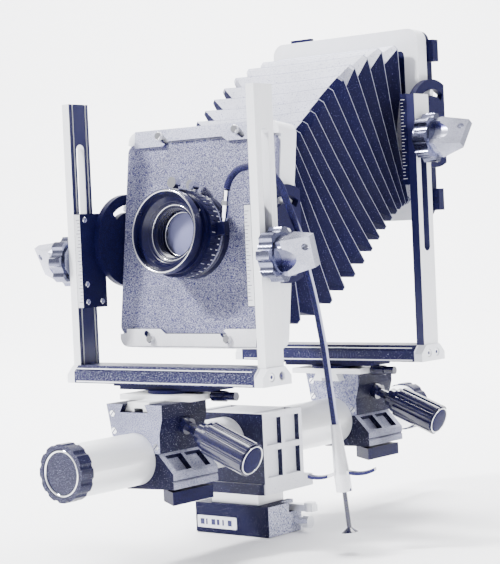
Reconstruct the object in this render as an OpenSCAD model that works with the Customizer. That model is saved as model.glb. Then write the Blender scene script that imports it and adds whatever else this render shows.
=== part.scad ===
// Monorail view camera on a tripod quick-release shoe.
// Millimetres. X is to the right seen from the front, Y runs from lens to film, Z is up.
// The origin is the tripod socket, in the middle of the shoe's underside.

/* [Tripod shoe and rail clamp] */
// Width of the shoe, left to right
shoe_w = 70; // [60:1:90]
// Depth of the shoe, front to back
shoe_d = 40; // [36:1:60]
// Height of the shoe body
shoe_h = 22; // [20:1:28]
// Height of the plate's dovetail neck above the shoe
neck_h = 9; // [7:1:14]
// Width of the rail clamp block
block_w = 70; // [66:1:90]
// Depth of the rail clamp block along the rail
block_d = 47; // [40:1:60]
// Thickness of the rail clamp's foot
foot_t = 8; // [6:1:12]
// Outer wall of the clamp block's ribbed sides
block_wall = 6; // [5:0.5:8]
// Bore of the tripod thread
thread_d = 9.5; // [6.3:0.1:9.5]

/* [Rail] */
// Diameter of the round rail
rail_d = 36; // [32:1:40]
// Wall of the rail tube
rail_wall = 3; // [2:0.5:5]
// Length of the rail tube in front of the shoe's middle
rail_front = 182; // [150:1:220]
// Length of the rail tube behind the shoe's middle
rail_back = 212; // [190:1:260]
// Diameter of the screw-on end caps
cap_d = 39; // [38:1:48]
// Length of an end cap outside the rail
cap_t = 11; // [8:1:20]

/* [Standards] */
// Distance from the middle of the shoe to the front standard's uprights
front_place = 85; // [78:1:105]
// Distance from the middle of the shoe to the rear standard's uprights
rear_place = 111; // [98:1:130]
// Overall width across the uprights
standard_w = 179; // [172:1:220]
// Height of the uprights above the base bar
upright_h = 191; // [180:1:240]
// Thickness of an upright
upright_t = 6.8; // [5:0.2:9]
// Depth of an upright
upright_d = 20; // [17:1:26]
// Height of the base bar
bar_h = 12.5; // [10:0.5:16]
// Width of the slots in the uprights
slot_w = 8; // [6:0.5:10]
// Length of the slots, end to end
slot_len = 90; // [60:1:100]
// Height of the slots' lower ends above the base bar's underside
slot_low = 84; // [76:1:100]

/* [Frames and bellows] */
// Width of the lens frame and the film frame
frame_w = 142; // [136:1:146]
// Height of the lens frame
lens_frame_h = 160; // [158:1:170]
// Height of the film frame
film_frame_h = 150; // [146:1:160]
// Side of the square lens board
board_side = 140; // [134:1:141]
// Thickness of the lens board
board_t = 4; // [3:0.5:5]
// Backward tilt of the lens frame as it stands, in degrees
lens_tilt = 7.4; // [0:0.1:12]
// Thickness of the tilt discs
disc_t = 5; // [4:0.5:6]
// Diameter of the tilt discs
disc_d = 69; // [60:1:76]
// Number of sections along the bellows
bellows_rings = 19; // [9:1:31]

/* [Lens and shutter] */
// Outer diameter of the lens's front rim
rim_d = 60; // [50:1:66]
// Bore of the filter thread in the front rim
filter_d = 56; // [46:1:58]
// Diameter of the shutter's housing
shutter_d = 62; // [56:1:70]
// Diameter of the board's lens hole
lens_hole_d = 41.6; // [32:0.1:50]
// Reach of the lens in front of its board
lens_reach = 36; // [34:1:50]

/* [Knobs] */
// Diameter of the scalloped lock rings
ring_d = 37; // [30:1:42]
// Width of the scalloped lock rings
ring_t = 14; // [10:1:18]
// Diameter of the studs that carry the lock rings
stud_d = 7.6; // [5:0.1:7.8]
// Diameter of a focus grip
grip_d = 24; // [18:1:28]
// Length of a focus grip
grip_len = 36; // [26:1:42]
// Slope of the focus shafts, in degrees below level
grip_slope = 21; // [10:1:28]

/* [Cable release] */
// Diameter of the cable
cable_d = 5; // [4:0.5:6]
// Length of the release's sleeve
sleeve_len = 34; // [25:1:45]

/* [Clearances] */
// Radial clearance of a part that turns on a stud or shaft
turn_gap = 0.05; // [0.02:0.01:0.1]
// Clearance of a sliding face
slide_gap = 0.1; // [0.05:0.05:0.3]
// Clearance between parts that only lie near each other
free_gap = 0.3; // [0.2:0.1:0.6]

/* [Hidden] */
$fn = 64;
eps = 0.01;

// Heights, from the shoe upwards
foot_z = shoe_h + neck_h;
block_z = foot_z + foot_t;
rail_r = rail_d / 2;
rail_z = block_z + 12 + rail_r;
block_top = rail_z + rail_r + 3;
bar_z = rail_z + rail_r + 30;
block_front = -block_d / 2 + 1;
foot_d = block_d + 15;

// Places in a standard, from its uprights' front face and its base bar's underside
slot_y = upright_d / 2;
stud_r = stud_d / 2;
front_knob_z = slot_low + slot_w / 2 + 0.5;
rear_knob_z = slot_low + slot_len - slot_w / 2 - 0.5;
up_out = standard_w / 2;
up_in = up_out - upright_t;
plate_t = 6;
plate_h = 69;
plate_d = 25;
plate_out = up_in - slide_gap;
plate_in = plate_out - plate_t;
disc_out = plate_in;
disc_in = disc_out - disc_t;
disc_y = 48;
disc_lift = 13.5;
bar_d = 32;
bar_front = slot_y - bar_d / 2;
bar_flat = 8;
end_t = 7;
end_in = up_out - 5.5;
end_out = end_in + end_t;

// Carriage on the rail, in the same standard frame
carriage_len = 47;
front_carriage_y = -35;
rear_carriage_y = 2;
rail_drop = bar_z - rail_z;
carriage_w = 51;
carriage_top = -10.5;
dovetail_w = 26;
dovetail_flare = 3;
dovetail_h = 5.5;
slide_low = carriage_top - dovetail_h;
turntable_z = -4;
key_w = 14;
key_h = 3.7;
shift_slot_h = 4;
jaw_w = 33.5;
jaw_low = -67.5;
jaw_lever_h = 9;
knob_y = carriage_len / 2;
knob_start_x = 21;
knob_start_z = -24;
shaft_r = 3.5;
shaft_in = 11;

// Lens, measured forwards from the board's front face
frame_front = -7.3;
frame_back = 13;
frame_border = 13;
lens_board_y = frame_front - 1;
lens_frame_r = 8;
lens_hole_r = lens_hole_d / 2;
shutter_r = shutter_d / 2;
rim_r = rim_d / 2;
glass_r = 19;
latch_t = 3;
latch_w = 122;
latch_h = 12.5;
latch_pin_x = 36;
latch_pin_r = 2;
latch_pin_z = board_side / 2 + 4.5;
latch_back = lens_board_y - slide_gap;
latch_front = latch_back - latch_t;
latch_travel = 7;
latch_angle = 37;
aperture_from = 5;
speed_from = 15;
shutter_front = 24;
socket_angle = 5;

// Film frame
film_front = -10.7;
film_depth = 12;
film_back_t = 6;
glass_w = 127;
glass_h = 102;

// Bellows: a curve from the lens frame's back to the film frame's front
bellows_w0 = 108;
bellows_w1 = 120;
bellows_h0 = 130;
bellows_h1 = 124;
bellows_wall = 2;
bellows_pull = 68;
bellows_cut = 8;

// Centreline of the cable, from the ferrule's tip to the sleeve
cable_route = [
    [42.5, -60, 252], [43.5, -59.5, 256], [45.5, -59, 259.5], [48.5, -58, 263],
    [52.5, -57, 265.5], [58, -56, 266.5], [64, -55.5, 266], [70.5, -55, 264],
    [76.5, -54.5, 261], [81.5, -54, 257], [85.5, -53, 250], [88.5, -53, 242],
    [92.5, -52, 231], [96.5, -51, 220], [99, -50, 207], [101, -49, 194],
    [103.5, -48, 181], [105.7, -47, 168], [107.5, -46, 154], [109.2, -45, 140],
    [110.6, -44, 123], [112, -43, 106], [113.4, -42, 88]
];
cable_sides = 10;
release_dir = [0.089, 0.038, -0.995];

function front_place_v() = [0, -front_place, bar_z];
function rear_place_v() = [0, rear_place, bar_z];
function knob_z(front) = front ? front_knob_z : rear_knob_z;
function unit(v) = v / norm(v);
function mix(a, b, t) = a + (b - a) * t;

// ---------------------------------------------------------------- shared shapes

// Moves its children from a standard's own frame to the camera's.
module at_standard(front) {
    translate(front ? front_place_v() : rear_place_v()) children();
}

// Moves its children from a tilting frame's own centre to the camera's frame.
module at_frame(front) {
    at_standard(front)
        translate([0, disc_y, knob_z(front) + disc_lift])
            rotate([front ? -lens_tilt : 0, 0, 0]) children();
}

// Extrudes an outline drawn in X and Z along Y, from y0 over a length.
module along_y(y0, length) {
    translate([0, y0 + length, 0]) rotate([90, 0, 0]) linear_extrude(length) children();
}

// Extrudes an outline drawn in Y and Z along X, from x0 over a length.
module along_x(x0, length) {
    translate([x0, 0, 0]) rotate([90, 0, 90]) linear_extrude(length) children();
}

// A cylinder along X, from x0 over a length.
module rod_x(r, x0, length) {
    translate([x0, 0, 0]) rotate([0, 90, 0]) cylinder(r = r, h = length);
}

// A rectangle centred on the origin with round corners.
module round_rect(w, h, r) {
    square([w, h - 2 * r], center = true);
    square([w - 2 * r, h], center = true);
    for (x = [-1, 1], y = [-1, 1]) translate([x * (w / 2 - r), y * (h / 2 - r)]) circle(r);
}

// A straight slot along Z with round ends, cut through a wall whose normal is X.
module slot_x(r, x0, length, z0, z1) {
    for (z = [z0, z1]) translate([0, 0, z]) rod_x(r, x0, length);
    translate([x0, -r, z0]) cube([length, 2 * r, z1 - z0]);
}

// A circle with scallops cut in its edge.
module scalloped(r, lobes, cut_r, depth) {
    difference() {
        circle(r);
        for (i = [0 : lobes - 1])
            rotate((i + 0.5) * 360 / lobes) translate([r + cut_r - depth, 0]) circle(cut_r);
    }
}

// ---------------------------------------------------------------- tripod shoe

pin_x = shoe_w / 2;
plate_w = 52;
plate_y = 30;
plate_flare = 4;
screw_r = thread_d / 2;

module dovetail_outline(grow) {
    top = plate_w / 2 - plate_flare;
    polygon([
        [-plate_w / 2 - grow, -6 - grow], [plate_w / 2 + grow, -6 - grow],
        [top + grow, 0], [top + grow, neck_h + 1], [-top - grow, neck_h + 1], [-top - grow, 0]
    ]);
}

// The clamp lever's corner notch and pivot, and the safety pin's height.
notch_x = 27;
notch_y = 4;
notch_z = 15;
lever_x = 31;
lever_y = 13;
lever_t = 5;
lever_reach = 21;
safety_z = 7.5;
safety_r = 2.5;

module shoe_body() {
    color("midnightblue") difference() {
        linear_extrude(shoe_h) round_rect(shoe_w, shoe_d, 1.5);
        // channel for the quick-release plate
        translate([0, 0, shoe_h]) along_y(-plate_y / 2 - slide_gap, shoe_d) dovetail_outline(slide_gap);
        // open corner that the clamp lever swings in, with its pivot hole
        translate([notch_x, notch_y, notch_z]) cube([shoe_w, shoe_d, shoe_h]);
        translate([lever_x, lever_y, notch_z - 5]) cylinder(r = 2 + turn_gap, h = 6);
        // tripod thread
        translate([0, 0, -eps]) cylinder(r = screw_r, h = shoe_h);
        // seat of the safety pin
        translate([0, lever_y - 1, safety_z]) rod_x(safety_r + turn_gap, pin_x - 14, 15);
    }
}

module shoe_clamp_lever() {
    color("silver") translate([lever_x, lever_y, notch_z + free_gap]) {
        translate([0, 0, -4.5]) cylinder(r = 2, h = 6);
        cylinder(r = 3.8, h = lever_t);
        translate([0, -3.5, 0]) cube([lever_reach, 7, lever_t]);
        translate([lever_reach - 4, 0, 0]) cylinder(r = 4.5, h = lever_t + 1.5);
    }
}

module shoe_safety_pin() {
    color("gainsboro") translate([pin_x, lever_y - 1, safety_z]) {
        rod_x(safety_r, -12, 14);
        rod_x(3.4, free_gap, 8);
        rod_x(4.5, 8, 5.5);
        translate([5, 0, -6.5]) cylinder(r = 1.6, h = 6);
    }
}

module quick_release_plate() {
    color("lightgray") translate([0, 0, shoe_h]) along_y(-plate_y / 2, plate_y) intersection() {
        dovetail_outline(0);
        translate([-plate_w, -6]) square([2 * plate_w, 6 + neck_h]);
    }
}

window_n = 2;
rib_t = 4;

// The ribbed side of the clamp block: window pockets in its outer face.
module block_windows(side) {
    span_y = block_d - 2 * rib_t;
    span_z = block_top - block_z - 2 * rib_t;
    win_y = (span_y - rib_t) / window_n;
    win_z = (span_z - rib_t) / window_n;
    depth = block_wall - 2;
    for (i = [0 : window_n - 1], j = [0 : window_n - 1])
        translate([
            side > 0 ? block_w / 2 - depth : -block_w / 2 - eps,
            block_front + rib_t + i * (win_y + rib_t),
            block_z + rib_t + j * (win_z + rib_t)
        ]) cube([depth + eps, win_y, win_z]);
}

module clamp_block() {
    inner_x = rail_r + 4;
    color("lavender") difference() {
        union() {
            translate([0, block_front + foot_d / 2 - 1, foot_z])
                linear_extrude(foot_t) round_rect(block_w, foot_d, 5);
            translate([-block_w / 2, block_front, block_z - eps])
                cube([block_w, block_d, block_top - block_z + eps]);
        }
        translate([0, block_front - eps, rail_z]) rotate([-90, 0, 0])
            cylinder(r = rail_r + turn_gap, h = block_d + 2 * eps);
        for (side = [-1, 1]) {
            block_windows(side);
            // trough between the rail's ring and the ribbed wall
            x0 = side > 0 ? inner_x : -block_w / 2 + block_wall;
            translate([x0, block_front + rib_t, block_z + 4])
                cube([block_w / 2 - block_wall - inner_x, block_d - 2 * rib_t, block_top]);
        }
        // hole for the clamp screw and its pad, on the left
        translate([-block_w, block_front + block_d / 2, rail_z])
            rod_x(5 + turn_gap, 0, block_w - rail_r + 2);
    }
}

clamp_y = block_front + block_d / 2;

module clamp_pad() {
    color("dimgray") translate([0, clamp_y, rail_z]) difference() {
        rod_x(5 - turn_gap, -rail_r - 4, 4);
        translate([0, 20, 0]) rotate([90, 0, 0]) cylinder(r = rail_r + slide_gap, h = 40);
    }
}

module clamp_knob() {
    color("midnightblue") translate([-block_w / 2, clamp_y, rail_z]) {
        rod_x(5 - turn_gap, -2, block_w / 2 - rail_r - 4 + 2 - slide_gap);
        translate([-1 - 14, 0, 0]) rotate([0, 90, 0]) linear_extrude(14)
            scalloped(14, 8, 3.5, 1.6);
    }
}

// ---------------------------------------------------------------- rail

module rail_tube() {
    color("whitesmoke") translate([0, -rail_front, rail_z]) rotate([-90, 0, 0]) difference() {
        cylinder(r = rail_r, h = rail_front + rail_back);
        translate([0, 0, -eps])
            cylinder(r = rail_r - rail_wall, h = rail_front + rail_back + 2 * eps);
    }
}

cap_plug = 12;

// An end cap: a fluted rim, a dished face and a plug that fills the rail's end.
module rail_cap() {
    rotate([90, 0, 0]) {
        difference() {
            linear_extrude(cap_t) scalloped(cap_d / 2, 12, 3.2, 1);
            translate([0, 0, cap_t - 1.2]) cylinder(r = cap_d / 2 - 3.5, h = 2);
        }
        translate([0, 0, -cap_plug]) cylinder(r = rail_r - rail_wall - turn_gap, h = cap_plug + 1);
    }
}

module rail_front_cap() {
    color("midnightblue") translate([0, -rail_front, rail_z]) rail_cap();
}

module rail_rear_cap() {
    color("midnightblue") translate([0, rail_back, rail_z]) mirror([0, 1, 0]) rail_cap();
}

// ---------------------------------------------------------------- carriage on the rail

function carriage_y(front) = front ? front_carriage_y : rear_carriage_y;

// The slide's dovetail: its outline, larger by a clearance for the carriage's groove.
module slide_dovetail(grow) {
    w = dovetail_w / 2;
    polygon([
        [-w + dovetail_flare - grow, carriage_top + 1], [w - dovetail_flare + grow, carriage_top + 1],
        [w - dovetail_flare + grow, carriage_top], [w + grow, slide_low - grow],
        [-w - grow, slide_low - grow], [-w + dovetail_flare - grow, carriage_top]
    ]);
}

module focus_shaft_place(front) {
    translate([knob_start_x, carriage_y(front) + knob_y, knob_start_z])
        rotate([0, grip_slope, 0]) children();
}

module carriage(front) {
    y0 = carriage_y(front);
    half = carriage_w / 2;
    at_standard(front) difference() {
        along_y(y0, carriage_len) polygon([
            [-half, carriage_top], [half, carriage_top], [half, carriage_top - 9.5],
            [half - 3, carriage_top - 20], [half - 3, -rail_drop + 4.5],
            [half - 12, -rail_drop + 4.5], [0, -rail_drop + 4.5], [-half + 9, -33],
            [-half + 4.5, -33]
        ]);
        along_y(y0 - eps, carriage_len + 2 * eps) slide_dovetail(slide_gap);
        translate([0, y0 - eps, -rail_drop]) rotate([-90, 0, 0])
            cylinder(r = rail_r + turn_gap, h = carriage_len + 2 * eps);
        focus_shaft_place(front) rod_x(shaft_r + turn_gap, -shaft_in - free_gap, 40);
    }
}

module carriage_jaw(front) {
    y0 = carriage_y(front);
    top = -rail_drop + 4.5 - free_gap;
    at_standard(front) difference() {
        along_y(y0, carriage_len) polygon([
            [10, top], [20.5, top], [jaw_w, -57], [jaw_w, -61.5], [jaw_w - 1.2, -62.2],
            [jaw_w, -63], [jaw_w, jaw_low], [-9, jaw_low - 1.5], [-12, -64], [0, -60]
        ]);
        translate([0, y0 - eps, -rail_drop]) rotate([-90, 0, 0])
            cylinder(r = rail_r + turn_gap, h = carriage_len + 2 * eps);
        // pockets in the sloping shoulder
        for (i = [0, 1])
            translate([27, y0 + 5 + i * 20, -50.5]) rotate([0, 45, 0])
                translate([-7, 0, -4]) cube([14, 16.5, 12]);
        // pivot screw of the clamp lever
        translate([14, y0 + knob_y, jaw_low - 2]) cylinder(r = 2.5 + turn_gap, h = 7);
    }
}

module jaw_lever(front) {
    z1 = jaw_low - 2 - free_gap;
    y0 = carriage_y(front);
    at_standard(front) translate([14, y0 + knob_y, 0]) {
        translate([0, 0, z1 - 1]) cylinder(r = 2.5, h = 8);
        translate([0, 0, z1 - jaw_lever_h]) linear_extrude(jaw_lever_h) difference() {
            union() {
                circle(8);
                polygon([[-4, -8], [17, -22], [17.5, 20], [9, 21], [7, 6], [0, 8]]);
            }
            translate([13, 30]) circle(10.5);
        }
    }
}

module focus_knob(front) {
    collar_x = 20;
    at_standard(front) focus_shaft_place(front) {
        rod_x(shaft_r, -shaft_in, shaft_in + collar_x + 2);
        rod_x(6, 4, 5);
        rod_x(7.5, collar_x, 8);
        translate([collar_x + 4, 0, -9]) cylinder(r = 2.2, h = 6);
        translate([collar_x + 6, 0, 0]) rotate([0, 90, 0]) linear_extrude(4) circle(grip_d / 2 - 2);
        translate([collar_x + 10, 0, 0]) rotate([0, 90, 0])
            linear_extrude(grip_len) scalloped(grip_d / 2, 10, 2.2, 1.1);
        rod_x(grip_d / 2 - 1.6, collar_x + 10 + grip_len - eps, 1.2);
    }
}

// Slides in the carriage's groove and carries the turntable.
module focus_slide(front) {
    y0 = front ? -30 : -6;
    length = 52;
    post_z = turntable_z - 2 - slide_gap;
    at_standard(front) difference() {
        union() {
            along_y(y0, length) slide_dovetail(0);
            translate([-post_w / 2, front ? -13 : -6, carriage_top + free_gap - eps])
                cube([post_w, 34, post_z - carriage_top - free_gap + eps]);
        }
        // gap between the dovetail's legs, for the rack
        translate([-4, y0 - eps, slide_low - 1]) cube([8, length + 2 * eps, 3.5]);
        // seat of the turntable's pivot
        translate([0, slot_y, post_z - 3]) cylinder(r = 6 + turn_gap, h = 5);
        swing_screw_place() rod_x(swing_screw_r + turn_gap, -30, 34);
    }
}

swing_screw_r = 1.6;
swing_screw_z = -8.15;
post_w = 66;

module swing_screw_place() {
    translate([post_w / 2, slot_y, swing_screw_z]) children();
}

// The turning plate under the base bar, with the key that the bar shifts along.
module turntable(front) {
    at_standard(front) translate([0, slot_y, 0]) {
        translate([0, 0, turntable_z - 2]) cylinder(r = 20, h = 2);
        translate([0, 0, turntable_z - 5]) cylinder(r = 6, h = 4);
        translate([-42, -13, turntable_z]) cube([84, 26, -turntable_z - 1.5]);
        translate([-46, -15, -1.5]) cube([92, 30, 1.5 - slide_gap]);
        translate([-40, -key_w / 2, -2]) cube([80, key_w, 2 + key_h]);
    }
}

module swing_knob(front) {
    at_standard(front) swing_screw_place() {
        rod_x(swing_screw_r, -26, 28);
        translate([1, 0, 0]) rotate([0, 90, 0]) linear_extrude(12) scalloped(3.9, 10, 0.9, 0.35);
        rod_x(3, 12.9, 9);
    }
}

// ---------------------------------------------------------------- U-shaped standard

module bar_outline(flat_h) {
    cut = bar_h - flat_h;
    polygon([
        [bar_front, 0], [bar_front + bar_d, 0], [bar_front + bar_d, flat_h],
        [bar_front + bar_d - cut, bar_h], [bar_front + cut, bar_h], [bar_front, flat_h]
    ]);
}

// Base bar with its two end blocks; the uprights stand on both.
module base_bar(front) {
    at_standard(front) {
        difference() {
            along_x(-end_in, 2 * end_in) bar_outline(bar_flat);
            translate([-end_in - 1, slot_y - key_w / 2 - slide_gap, -eps])
                cube([2 * end_in + 2, key_w + 2 * slide_gap, shift_slot_h]);
        }
        for (side = [-1, 1])
            difference() {
                along_x(side > 0 ? end_in : -end_out, end_t) bar_outline(bar_flat - 2);
                for (dy = [-5.5, 5.5])
                    translate([side * end_out, slot_y + dy, bar_h / 2])
                        rod_x(3.2, side > 0 ? -2.5 : -1, 3.5);
            }
    }
}

module uprights(front) {
    at_standard(front) for (side = [-1, 1])
        difference() {
            translate([side > 0 ? up_in : -up_out, 0, bar_h])
                cube([upright_t, upright_d, upright_h]);
            // slot for the lock ring's stud
            translate([0, slot_y, 0])
                slot_x(
                    slot_w / 2, side > 0 ? up_in - 1 : -up_out - 1, upright_t + 2,
                    slot_low + slot_w / 2, slot_low + slot_len - slot_w / 2
                );
            // two grooves in the inner face
            for (y = [2.2, upright_d - 4.4])
                translate([side > 0 ? up_in - eps : -up_in - 1.2, y, bar_h - eps])
                    cube([1.2 + eps, 2.2, upright_h + 1]);
        }
}

// The plates that ride up and down inside the uprights, each with its stud.
module slider_plates(front) {
    at_standard(front) for (side = [-1, 1])
        translate([0, 0, knob_z(front)]) {
            translate([side > 0 ? plate_in : -plate_out, 0, -plate_h / 2])
                cube([plate_t, plate_d, plate_h]);
            translate([0, slot_y, 0])
                rod_x(stud_r, side > 0 ? plate_out - 1 : -up_out - ring_t - 6, upright_t + slide_gap + ring_t + 7);
        }
}

module ring_knob(front, side) {
    at_standard(front) translate([0, slot_y, knob_z(front)]) {
        x0 = up_out + slide_gap;
        mirror([side > 0 ? 0 : 1, 0, 0]) difference() {
            union() {
                translate([x0, 0, 0]) rotate([0, 90, 0]) linear_extrude(2)
                    circle(ring_d / 2 - 4);
                translate([x0 + 2, 0, 0]) rotate([0, 90, 0]) linear_extrude(ring_t - 3)
                    scalloped(ring_d / 2, 8, 6, 2.6);
                translate([x0 + ring_t - 1 - eps, 0, 0]) rotate([0, 90, 0])
                    cylinder(r = ring_d / 2 - 5, h = 1);
            }
            rod_x(stud_r + turn_gap, x0 - 1, ring_t + 2);
        }
    }
}

wing_out = 23;
wing_hub_r = 12.5;

// Wing lever on the stud's end: a round hub with a wedge-shaped thumb grip, drilled near its tip.
module lock_lever(front, side, turn) {
    x0 = up_out + slide_gap + ring_t + slide_gap;
    at_standard(front) translate([0, slot_y, knob_z(front)])
        mirror([side > 0 ? 0 : 1, 0, 0]) translate([x0, 0, 0]) rotate([turn, 0, 0])
            difference() {
                union() {
                    rod_x(wing_hub_r, 0, 4);
                    intersection() {
                        along_y(-wing_hub_r, 2 * wing_hub_r) polygon([
                            [0, -11.5], [4, -wing_hub_r], [wing_out, -9], [wing_out + 1, 13],
                            [4, wing_hub_r], [0, 11.5]
                        ]);
                        translate([0, 0, -20]) linear_extrude(40) polygon([
                            [0, -9], [4, -9], [wing_out + 1, -2.5], [wing_out + 1, 3], [4, 9], [0, 9]
                        ]);
                    }
                }
                rod_x(stud_r + turn_gap, -1, 7.5);
                // thumb scoop
                translate([wing_out - 9, -20, -1]) rotate([0, 90, 0]) cylinder(r = 13.6, h = 40, center = true);
                // hole through the tip
                translate([wing_out - 3.5, -20, 6]) rotate([-90, 0, 0]) cylinder(r = 2.4, h = 40);
            }
}

pivot_r = 4;
arc_r = 24;
arc_stud_r = 2.5;
arc_dir = 95;
arc_span = 72;
disc_cut = 16;

// Tilt discs, fixed to the slider plates; the frame turns on their centres.
module tilt_discs(front) {
    at_standard(front) translate([0, disc_y, knob_z(front) + disc_lift]) for (side = [-1, 1])
        difference() {
            rod_x(disc_d / 2, side > 0 ? disc_in : -disc_out, disc_t);
            translate([-up_out, disc_cut, -disc_d]) cube([2 * up_out, disc_d, 2 * disc_d]);
            rod_x(pivot_r + turn_gap, side > 0 ? disc_in - 1 : -disc_out - 1, disc_t + 2);
            translate([side > 0 ? disc_in - 1 : -disc_out - 1, 0, 0]) rotate([90, 0, 90])
                rotate(arc_dir - arc_span / 2) rotate_extrude(angle = arc_span)
                    translate([arc_r - arc_stud_r - free_gap, 0]) square([2 * (arc_stud_r + free_gap), disc_t + 2]);
        }
}

// Pivots and clamp studs on both sides of a tilting frame.
module frame_pivots() {
    for (side = [-1, 1]) {
        rod_x(pivot_r, side > 0 ? frame_w / 2 - 0.5 : -disc_out, disc_out - frame_w / 2 + 0.5);
        rotate([arc_dir, 0, 0]) translate([0, arc_r, 0])
            rod_x(arc_stud_r, side > 0 ? frame_w / 2 - 0.5 : -disc_out, disc_out - frame_w / 2 + 0.5);
    }
}

// ---------------------------------------------------------------- lens frame and board

module lens_frame() {
    lip = board_side / 2 + free_gap;
    seat_y = lens_board_y + board_t;
    color("lavender") at_frame(true) difference() {
        union() {
            along_y(seat_y, frame_back - seat_y) round_rect(frame_w, lens_frame_h, lens_frame_r);
            along_y(frame_front, seat_y - frame_front + eps) intersection() {
                round_rect(frame_w, lens_frame_h, lens_frame_r);
                for (s = [-1, 1])
                    translate([-frame_w / 2, s > 0 ? lip : -lens_frame_h / 2])
                        square([frame_w, lens_frame_h / 2 - lip]);
            }
            frame_pivots();
            for (s = [-1, 1], x = [-1, 1])
                translate([x * latch_pin_x, 0, s * latch_pin_z]) rotate([90, 0, 0]) {
                    translate([0, 0, -frame_front - 1])
                        cylinder(r = latch_pin_r, h = frame_front - latch_front + 1 + slide_gap + eps);
                    translate([0, 0, -latch_front + slide_gap]) cylinder(r = 3, h = 2.5);
                }
        }
        along_y(seat_y - 1, frame_back - seat_y + 2)
            round_rect(frame_w - 2 * frame_border, frame_w - 2 * frame_border, 4);
    }
}

module lens_board() {
    color("lightslategray") at_frame(true) difference() {
        along_y(lens_board_y, board_t) round_rect(board_side, board_side, 6);
        translate([0, lens_board_y - 1, 0]) rotate([-90, 0, 0]) cylinder(r = lens_hole_r, h = board_t + 2);
    }
}

// A sliding bar with diagonal slots: it moves along them to free the board.
module board_latch(top) {
    s = top ? 1 : -1;
    y0 = latch_front;
    z_out = lens_frame_h / 2 - 0.5;
    z_in = z_out - latch_h;
    at_frame(true) rotate([0, top ? 0 : 180, 0]) difference() {
        along_y(y0, latch_t) polygon([
            [-latch_w / 2, z_in], [-latch_w / 2 + 28, z_in], [-latch_w / 2 + 33, z_in + 3.5],
            [latch_w / 2 - 38, z_in + 3.5], [latch_w / 2 - 33, z_in], [latch_w / 2, z_in],
            [latch_w / 2, z_out], [-latch_w / 2, z_out]
        ]);
        for (x = [-1, 1])
            translate([x * latch_pin_x, y0 - 1, latch_pin_z]) rotate([0, latch_angle, 0]) {
                r = latch_pin_r + slide_gap;
                for (d = [0, latch_travel])
                    translate([d, 0, 0]) rotate([-90, 0, 0]) cylinder(r = r, h = latch_t + 2);
                translate([0, 0, -r]) cube([latch_travel, latch_t + 2, 2 * r]);
            }
    }
}

// ---------------------------------------------------------------- lens and shutter

// Places its children on the lens's axis, with +Z pointing forwards out of the board.
module on_lens_axis() {
    at_frame(true) translate([0, lens_board_y, 0]) rotate([90, 0, 0]) children();
}

core_r = 24;

module shutter_body() {
    neck_r = lens_hole_r - slide_gap;
        housing_from = 9.5;
    housing_to = speed_from - slide_gap;
    cover_from = 21;
    color("midnightblue") on_lens_axis() {
        rotate_extrude() polygon([
            [front_glass_r, -board_t], [neck_r, -board_t], [neck_r, 0], [shutter_r, 0],
            [shutter_r, aperture_from], [core_r, aperture_from], [core_r, housing_from],
            [shutter_r, housing_from], [shutter_r, housing_to], [core_r, housing_to],
            [core_r, cover_from], [shutter_r - 2, cover_from],
            [shutter_r - 2, shutter_front], [front_glass_r, shutter_front]
        ]);
        // boss for the cable release
        rotate(socket_angle) translate([shutter_r - 3, -4.5, housing_from + 0.2])
            cube([10, 9, housing_to - housing_from - 0.4]);
    }
}

module ring_on_core(r, from, width) {
    translate([0, 0, from]) difference() {
        cylinder(r = r, h = width);
        translate([0, 0, -1]) cylinder(r = core_r + turn_gap, h = width + 2);
    }
}

module aperture_ring() {
    color("silver") on_lens_axis() {
        ring_on_core(shutter_r - 1, aperture_from + slide_gap, 9.5 - aperture_from - 2 * slide_gap);
        rotate(86) translate([0, 0, aperture_from + 0.5]) {
            translate([shutter_r - 2, -2, 0]) cube([6, 4, 2.5]);
            translate([shutter_r + 4.8, 0, 0]) cylinder(r = 3.5, h = 7);
        }
    }
}

module speed_ring() {
    color("midnightblue") on_lens_axis() difference() {
        ring_on_core(shutter_r + 0.5, speed_from, 21 - speed_from - slide_gap);
        for (i = [0 : 47])
            rotate(i * 7.5) translate([shutter_r + 0.9, 0, speed_from + 1]) cylinder(r = 0.9, h = 9, $fn = 8);
    }
}

cock_from = 21.2;

module cocking_lever() {
    color("silver") on_lens_axis() rotate(93) {
        translate([shutter_r - 2 + slide_gap, -3, cock_from]) cube([5.5, 6, 2]);
        translate([shutter_r + 4.8, 0, cock_from]) cylinder(r = 4, h = 6);
    }
}

module lens_front_barrel() {
    color("black") on_lens_axis() difference() {
        union() {
            translate([0, 0, shutter_front]) cylinder(r = rim_r - 3.5, h = 3);
            translate([0, 0, shutter_front + 3 - eps])
                cylinder(r1 = rim_r - 3.5, r2 = rim_r, h = 3);
            translate([0, 0, shutter_front + 6 - 2 * eps])
                cylinder(r = rim_r, h = lens_reach - shutter_front - 6 + 2 * eps);
        }
        translate([0, 0, lens_reach - 5]) cylinder(r = filter_d / 2, h = 6);
        translate([0, 0, shutter_front + 1]) cylinder(r1 = glass_r + 1, r2 = filter_d / 2 - 3, h = lens_reach - 6 - shutter_front);
        translate([0, 0, shutter_front - 1]) cylinder(r = glass_r, h = 3);
        translate([0, 0, lens_reach - 5.1]) cylinder(r = filter_d / 2 - 3, h = 1);
    }
}

glass_from = 9;
front_glass_r = 18;

// Front and rear glasses, each a short thick disc with a domed face, set deep in the housing and the barrel.
module lens_glass() {
    dome = 60;
    color("azure") on_lens_axis() {
        translate([0, 0, glass_from]) intersection() {
            cylinder(r = front_glass_r - turn_gap, h = 6);
            translate([0, 0, 5 - dome]) sphere(r = dome, $fn = 90);
        }
        translate([0, 0, -board_t - 14]) intersection() {
            cylinder(r = glass_r - turn_gap - 3, h = 4);
            translate([0, 0, dome]) sphere(r = dome, $fn = 90);
        }
    }
}

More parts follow.
